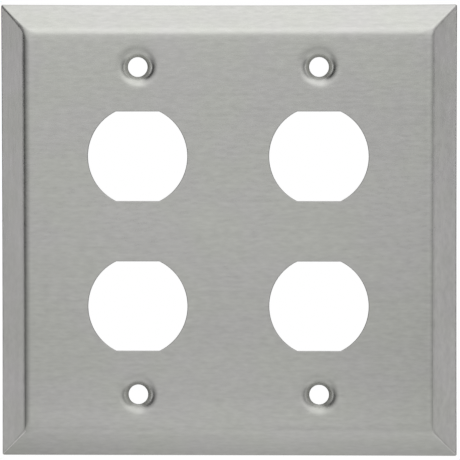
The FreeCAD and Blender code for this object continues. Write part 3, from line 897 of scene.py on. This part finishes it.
def studio_level(nodes):
    """Brightness of the studio in each direction, as the metal mirrors it."""
    x, y, z = nodes.split(nodes.new("TexCoord").outputs["Generated"])
    front = nodes.mul(y, -1.0)
    azimuth = nodes.mul(nodes.maths("ARCTAN2", x, front), 180 / pi)
    elevation = nodes.mul(nodes.maths("ARCSINE", z), 180 / pi)

    def patch(round_stops, round_name, height_stops, height_name):
        return nodes.mul(curve(nodes, azimuth, round_stops, round_name),
                         curve(nodes, elevation, height_stops, height_name))

    round_swing = nodes.sub(curve(nodes, azimuth, ROUND, "round"), 1.0)
    weight = curve(nodes, elevation, ROUND_WEIGHT, "round_weight")
    base = nodes.add(nodes.mul(round_swing, weight), 1.0)
    flag = patch(FLAG, "flag", FLAG_HEIGHT, "flag_height")
    stands = patch(STANDS, "stand", STAND_HEIGHT, "stand_height")
    shade = nodes.mul(nodes.sub(1.0, flag), nodes.sub(1.0, stands))
    lights = nodes.add(patch(STRIPS, "strips", STRIP_HEIGHT, "strip_height"),
                       patch(CARDS, "cards", CARD_HEIGHT, "card_height"))
    height = nodes.mul(curve(nodes, elevation, HEIGHT, "up"), STUDIO_LEVEL)
    dimming = nodes.sub(1.0, curve(nodes, front, BEHIND, "behind"))
    dimming = nodes.mul(dimming, curve(nodes, elevation, BEHIND_HEIGHT, "behind_height"))
    return nodes.mul(nodes.sub(1.0, dimming),
                     nodes.mul(nodes.add(nodes.mul(base, shade), lights), height))


def make_world():
    """The metal mirrors the studio, matt surfaces see an even fill and the camera
    sees white."""
    world = bpy.data.worlds.new("studio")
    scene.world = world
    world.use_nodes = True
    nodes = Nodes(world.node_tree, "OutputWorld")
    studio = nodes.new("Background", Color=(1.0, 1.0, 1.0, 1), Strength=studio_level(nodes))
    fill = nodes.new("Background", Color=(1.0, 0.995, 0.985, 1), Strength=0.75)
    backdrop = nodes.new("Background", Color=(1, 1, 1, 1), Strength=1.0)
    ray = nodes.new("LightPath").outputs
    lighting = nodes.mix_shaders(ray["Is Diffuse Ray"], studio, fill)
    nodes.finish(nodes.mix_shaders(ray["Is Camera Ray"], lighting, backdrop))


def floor_material():
    """Pale floor: shaded under the plate, running out to the white of the sweep,
    and white all over at a low angle."""
    material, nodes = new_material("floor")
    matt = nodes.new("BsdfPrincipled", Base_Color=(0.86, 0.86, 0.855, 1), Roughness=0.9,
                     Specular_IOR_Level=0.1)
    white = nodes.new("Emission", Color=(1, 1, 1, 1))
    geometry = nodes.new("NewGeometry").outputs
    distance = nodes.new("VectorMath", {"operation": "LENGTH"}, Vector=geometry["Position"])
    fade = nodes.remap(distance.outputs["Value"], old=(0.075, 0.36), new=(0.15, 1.0),
                       interpolation="SMOOTHERSTEP")
    steepness = nodes.split(geometry["Incoming"])[2]
    graze = nodes.remap(steepness, old=(0.11, 0.24), new=(1.0, 0.0),
                        interpolation="SMOOTHSTEP")
    nodes.finish(nodes.mix_shaders(nodes.maths("MAXIMUM", fade, graze), matt, white))
    return material


def make_floor():
    material = floor_material()
    mesh = bpy.data.meshes.new("floor")
    bm = bmesh.new()
    bmesh.ops.create_circle(bm, cap_ends=True, radius=3.0, segments=96)
    bm.to_mesh(mesh)
    bm.free()
    mesh.materials.append(material)
    floor = bpy.data.objects.new("floor", mesh)
    scene.collection.objects.link(floor)
    gap = 0.0002                    # metres below the plate's lower edge
    floor.location = (0, 0, plate_low[2] - gap)
    floor.visible_glossy = False
    floor.visible_diffuse = False


def make_softbox():
    """A broad softbox above, in front and to the left, for the foam and the floor;
    the metal mirrors the world instead."""
    light = bpy.data.lights.new("softbox", "AREA")
    light.shape = "RECTANGLE"
    light.size, light.size_y = 0.9, 0.6
    light.energy = 5.0
    softbox = bpy.data.objects.new("softbox", light)
    scene.collection.objects.link(softbox)
    softbox.location = (-0.35, -0.55, 0.95)
    aim = Vector((0, 0, 0)) - softbox.location
    softbox.rotation_euler = aim.to_track_quat("-Z", "Y").to_euler()
    softbox.visible_glossy = False
    softbox.visible_camera = False


# Camera: nearly straight on, a little above and to the right
CAMERA_AZIMUTH, CAMERA_ELEVATION, CAMERA_ROLL = 2.244, 2.84, 0.065    # degrees
CAMERA_DISTANCE = 1300.0            # millimetres, as are the rest but the sensor's metres-free size
TARGET_X, TARGET_Z = 0.341, 0.204
VIEW_WIDTH = 117.01857              # width seen at the target
SENSOR_WIDTH = 36.0


def make_camera():
    data = bpy.data.cameras.new("camera")
    camera = bpy.data.objects.new("camera", data)
    scene.collection.objects.link(camera)
    scene.camera = camera
    azimuth, elevation = radians(CAMERA_AZIMUTH), radians(CAMERA_ELEVATION)
    forward = Vector((-sin(azimuth) * cos(elevation), cos(azimuth) * cos(elevation),
                      -sin(elevation)))
    target = Vector((TARGET_X, -DEPTH / 2, TARGET_Z)) * MM
    camera.location = target - forward * CAMERA_DISTANCE * MM
    camera.rotation_mode = "QUATERNION"
    roll = Quaternion(forward, radians(CAMERA_ROLL))
    camera.rotation_quaternion = roll @ forward.to_track_quat("-Z", "Y")
    data.sensor_width = SENSOR_WIDTH
    data.lens = SENSOR_WIDTH * CAMERA_DISTANCE / VIEW_WIDTH
    data.clip_start, data.clip_end = 0.05, 20.0


make_world()
make_floor()
make_softbox()
make_camera()
